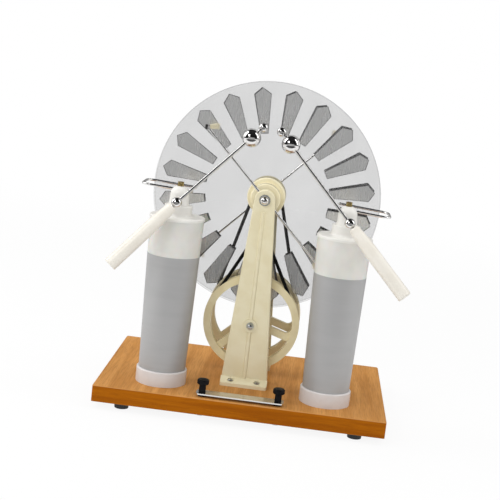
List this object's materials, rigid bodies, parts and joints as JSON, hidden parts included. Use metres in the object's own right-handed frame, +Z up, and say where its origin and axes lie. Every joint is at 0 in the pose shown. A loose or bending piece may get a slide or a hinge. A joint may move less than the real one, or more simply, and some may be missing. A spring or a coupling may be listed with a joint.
{
  "type": "wimshurst machine",
  "caption": "Hand-cranked influence machine: two contra-rotating foil-sectored discs between columns, belt drive, neutraliser rods, jars and swinging discharge rods on a board.",
  "frame": {"origin": "on the table plane, under the middle of the base board", "axes": "+X to the right seen from the side with the jars, +Y towards the crank, +Z up"},
  "size_m": [0.3391, 0.2707, 0.3848],
  "materials": {
    "oiled_board": "satin varnish",
    "black_rubber": "matt",
    "zinc_plate": "zinc plated",
    "bare_steel": "ground",
    "bright_nickel": "polished",
    "ivory_moulding": "semi-gloss",
    "ivory_grip": "semi-gloss",
    "white_moulding": "semi-gloss",
    "black_moulding": "satin",
    "clear_acrylic": "polished",
    "sector_foil": "satin foil",
    "jar_foil": "satin foil",
    "milky_jar": "semi-gloss",
    "yellow_brass": "polished",
    "belt_cord": "satin",
    "brush_bristle": "matt"
  },
  "bodies": {
    "frame": {"base_board": "oiled_board", "rubber_feet": "black_rubber", "foot_screws": "zinc_plate", "front_column": "ivory_moulding", "rear_column": "ivory_moulding", "column_screws": "zinc_plate", "disc_axle": "bare_steel", "axle_washers": "bright_nickel", "axle_cap_nuts": "bright_nickel", "rear_belt": "belt_cord", "front_belt": "belt_cord", "terminal_bushings": "black_moulding", "board_studs": "zinc_plate", "stud_nuts": "zinc_plate", "left_jar_socket": "white_moulding", "left_jar": "milky_jar", "left_outer_coating": "jar_foil", "left_inner_coating": "jar_foil", "left_jar_lid": "white_moulding", "left_knob": "white_moulding", "left_inner_rod": "bare_steel", "left_cross_rod": "bright_nickel", "left_collector": "bright_nickel", "left_strap": "zinc_plate", "right_jar_socket": "white_moulding", "right_jar": "milky_jar", "right_outer_coating": "jar_foil", "right_inner_coating": "jar_foil", "right_jar_lid": "white_moulding", "right_knob": "white_moulding", "right_inner_rod": "bare_steel", "right_cross_rod": "bright_nickel", "right_collector": "bright_nickel", "right_strap": "zinc_plate"},
    "drive": {"drive_shaft": "bare_steel", "front_drive_wheel": "ivory_moulding", "rear_drive_wheel": "ivory_moulding", "shaft_nut": "zinc_plate", "crank_arm": "ivory_moulding", "crank_pin": "bare_steel"},
    "crank_handle": {"crank_grip": "ivory_grip"},
    "front_disc_assembly": {"front_disc": "clear_acrylic", "front_disc_sectors": "sector_foil", "front_hub_pulley": "ivory_moulding"},
    "rear_disc_assembly": {"rear_disc": "clear_acrylic", "rear_disc_sectors": "sector_foil", "rear_hub_pulley": "ivory_moulding"},
    "front_neutraliser_rod": {"front_neutraliser": "bright_nickel", "front_brushes": "brush_bristle"},
    "rear_neutraliser_rod": {"rear_neutraliser": "bright_nickel", "rear_brushes": "brush_bristle"},
    "left_electrode": {"left_discharge_rod": "bright_nickel", "left_handle": "ivory_grip"},
    "right_electrode": {"right_discharge_rod": "bright_nickel", "right_handle": "ivory_grip"},
    "link": {"link_strip": "bright_nickel"},
    "left_terminal_cap": {"left_terminal_knob": "black_moulding"},
    "right_terminal_cap": {"right_terminal_knob": "black_moulding"},
    "left_knob_screw": {"left_brass_screw": "yellow_brass"},
    "right_knob_screw": {"right_brass_screw": "yellow_brass"}
  },
  "joints": [
    {"name": "drive_spin", "type": "hinge", "parent": "frame", "child": "drive", "pos_m": [0, 0, 0.1007], "axis": [0, 1, 0], "continuous": true},
    {"name": "grip_spin", "type": "hinge", "parent": "drive", "child": "crank_handle", "pos_m": [0, 0.0953, 0.0567], "axis": [0, 1, 0], "continuous": true},
    {"name": "front_disc_spin", "type": "hinge", "parent": "frame", "child": "front_disc_assembly", "pos_m": [0, 0, 0.2498], "axis": [0, 1, 0], "continuous": true},
    {"name": "rear_disc_spin", "type": "hinge", "parent": "frame", "child": "rear_disc_assembly", "pos_m": [0, 0, 0.2498], "axis": [0, 1, 0], "continuous": true},
    {"name": "front_neutraliser_turn", "type": "hinge", "parent": "frame", "child": "front_neutraliser_rod", "pos_m": [0, -0.036, 0.2498], "axis": [0, 1, 0], "range_deg": [-3, 15]},
    {"name": "rear_neutraliser_turn", "type": "hinge", "parent": "frame", "child": "rear_neutraliser_rod", "pos_m": [0, 0.036, 0.2498], "axis": [0, 1, 0], "range_deg": [-15, 30]},
    {"name": "left_electrode_swing", "type": "hinge", "parent": "frame", "child": "left_electrode", "pos_m": [-0.0948, -0.103, 0.2428], "axis": [-0.034, 0.9994, 0], "range_deg": [-25, 2]},
    {"name": "right_electrode_swing", "type": "hinge", "parent": "frame", "child": "right_electrode", "pos_m": [0.0984, -0.103, 0.2428], "axis": [-0.0678, 0.9977, 0], "range_deg": [-2, 25]},
    {"name": "link_swing", "type": "hinge", "parent": "frame", "child": "link", "pos_m": [-0.0432, -0.1065, 0.0311], "axis": [0, 0, 1], "range_deg": [-90, 0]},
    {"name": "left_terminal_turn", "type": "hinge", "parent": "frame", "child": "left_terminal_cap", "pos_m": [-0.0432, -0.1065, 0.0319], "axis": [0, 0, 1], "continuous": true},
    {"name": "right_terminal_turn", "type": "hinge", "parent": "frame", "child": "right_terminal_cap", "pos_m": [0.0432, -0.1065, 0.0319], "axis": [0, 0, 1], "continuous": true},
    {"name": "left_screw_turn", "type": "hinge", "parent": "frame", "child": "left_knob_screw", "pos_m": [-0.096, -0.0677, 0.2573], "axis": [0, 0, 1], "continuous": true},
    {"name": "right_screw_turn", "type": "hinge", "parent": "frame", "child": "right_knob_screw", "pos_m": [0.096, -0.0677, 0.2573], "axis": [0, 0, 1], "continuous": true}
  ],
  "couplings": [
    {"joint": "front_disc_spin", "follows": "drive_spin", "ratio": -3.4771},
    {"joint": "rear_disc_spin", "follows": "drive_spin", "ratio": 3.4771}
  ]
}
